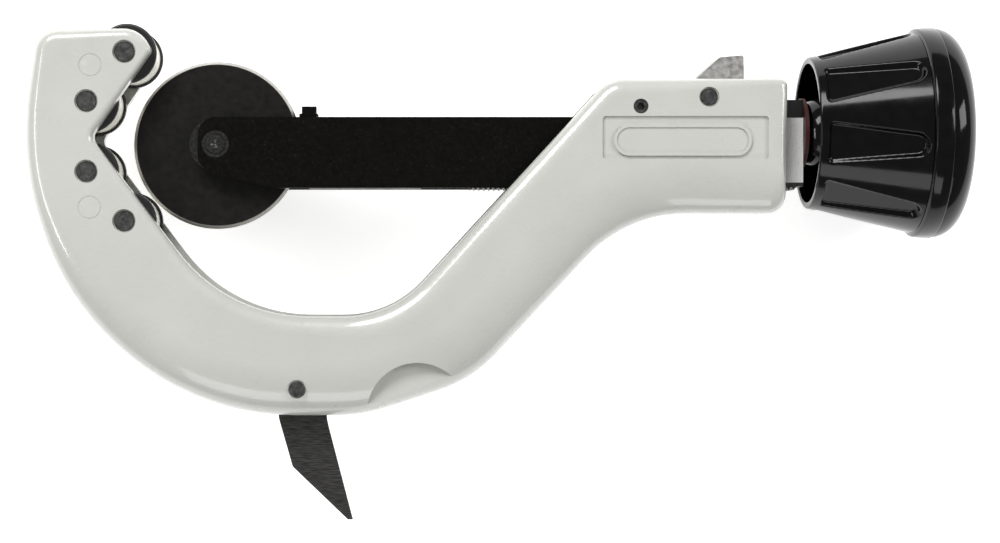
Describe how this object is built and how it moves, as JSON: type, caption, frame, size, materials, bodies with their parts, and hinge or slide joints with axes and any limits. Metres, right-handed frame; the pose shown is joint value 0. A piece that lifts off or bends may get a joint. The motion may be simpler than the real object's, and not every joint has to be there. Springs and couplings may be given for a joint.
{
  "type": "pipe cutter",
  "caption": "C-frame pipe cutter for plastic tube with a cutting wheel on a sliding arm, guide rollers, a fluted feed knob, a release lever and a fold-out deburring blade.",
  "frame": {"origin": "on the feed axis, projected onto the frame's flat rear face, in the middle of the grip", "axes": "the tool lies on its back: +X along the feed axis from the jaw to the knob, +Y across the grip away from the deburring blade, +Z out of the front face"},
  "size_m": [0.2764, 0.1474, 0.0632],
  "materials": {
    "painted_casting": "gloss",
    "cream_nylon": "satin",
    "black_rubber": "satin",
    "dark_steel": "satin",
    "black_paint": "satin",
    "black_wheel": "satin",
    "bright_steel": "satin",
    "brass": "satin",
    "red_fibre": "matte",
    "black_plastic": "gloss",
    "zinc": "satin",
    "blade_steel": "satin"
  },
  "bodies": {
    "frame": {"frame": "painted_casting", "roller_pin_1": "dark_steel", "roller_pin_2": "dark_steel", "roller_pin_3": "dark_steel", "roller_pin_4": "dark_steel", "lever_pin": "dark_steel", "lever_spring": "bright_steel", "stop_screw": "dark_steel", "blade_pin": "dark_steel", "blade_spacers": "bright_steel"},
    "roller_1": {"roller_drum_1": "cream_nylon", "roller_flanges_1": "black_rubber"},
    "roller_2": {"roller_drum_2": "cream_nylon", "roller_flanges_2": "black_rubber"},
    "roller_3": {"roller_drum_3": "cream_nylon", "roller_flanges_3": "black_rubber"},
    "roller_4": {"roller_drum_4": "cream_nylon", "roller_flanges_4": "black_rubber"},
    "slide": {"slide_bar": "bright_steel", "rack_strip": "dark_steel", "bearing_cap": "black_paint", "bearing_cap_screws": "dark_steel", "fibre_washer": "red_fibre"},
    "knob": {"knob": "black_plastic", "knob_washer": "bright_steel", "knob_nut": "bright_steel", "knob_cap": "black_plastic", "spindle": "bright_steel"},
    "arm": {"cutter_arm": "black_paint", "stop_stud": "black_paint", "feed_nut": "brass", "feed_nut_screws": "dark_steel", "wheel_axle": "dark_steel", "wheel_spacers": "bright_steel"},
    "wheel": {"cutting_wheel": "black_wheel"},
    "lever": {"release_lever": "zinc", "link_pin": "dark_steel"},
    "lock": {"lock_stirrup": "dark_steel"},
    "blade": {"deburring_blade": "blade_steel"}
  },
  "joints": [
    {"name": "roller_1_spin", "type": "hinge", "parent": "frame", "child": "roller_1", "pos_m": [-0.1675, 0.02295, 0.016], "axis": [0, 0, 1], "continuous": true},
    {"name": "roller_2_spin", "type": "hinge", "parent": "frame", "child": "roller_2", "pos_m": [-0.1786, 0.0085, 0.016], "axis": [0, 0, 1], "continuous": true},
    {"name": "roller_3_spin", "type": "hinge", "parent": "frame", "child": "roller_3", "pos_m": [-0.1786, -0.0121, 0.016], "axis": [0, 0, 1], "continuous": true},
    {"name": "roller_4_spin", "type": "hinge", "parent": "frame", "child": "roller_4", "pos_m": [-0.1675, -0.02655, 0.016], "axis": [0, 0, 1], "continuous": true},
    {"name": "quick_slide", "type": "slide", "parent": "frame", "child": "slide", "axis": [1, 0, 0], "range_m": [0, 0.072]},
    {"name": "knob_turn", "type": "hinge", "parent": "slide", "child": "knob", "pos_m": [0.05, 0, 0.016], "axis": [1, 0, 0], "range_deg": [0, 2160]},
    {"name": "arm_feed", "type": "slide", "parent": "slide", "child": "arm", "axis": [1, 0, 0], "range_m": [0, 0.0121]},
    {"name": "wheel_spin", "type": "hinge", "parent": "arm", "child": "wheel", "pos_m": [-0.1414, -0.0037, 0.016], "axis": [0, 0, 1], "continuous": true},
    {"name": "lever_turn", "type": "hinge", "parent": "frame", "child": "lever", "pos_m": [0.0036, 0.0097, 0.016], "axis": [0, 0, -1], "range_deg": [0, 10], "stiffness_Nm_per_rad": 0.6, "springref_deg": -2.86},
    {"name": "lock_drop", "type": "slide", "parent": "frame", "child": "lock", "axis": [0, -1, 0], "range_m": [0, 0.0015]},
    {"name": "blade_fold", "type": "hinge", "parent": "frame", "child": "blade", "pos_m": [-0.117, -0.076, 0.016], "axis": [0, 0, 1], "range_deg": [0, 72]}
  ],
  "couplings": [
    {"joint": "arm_feed", "follows": "knob_turn", "m_per_rad": 0.00031831},
    {"joint": "lock_drop", "follows": "lever_turn", "m_per_rad": 0.0085943}
  ]
}
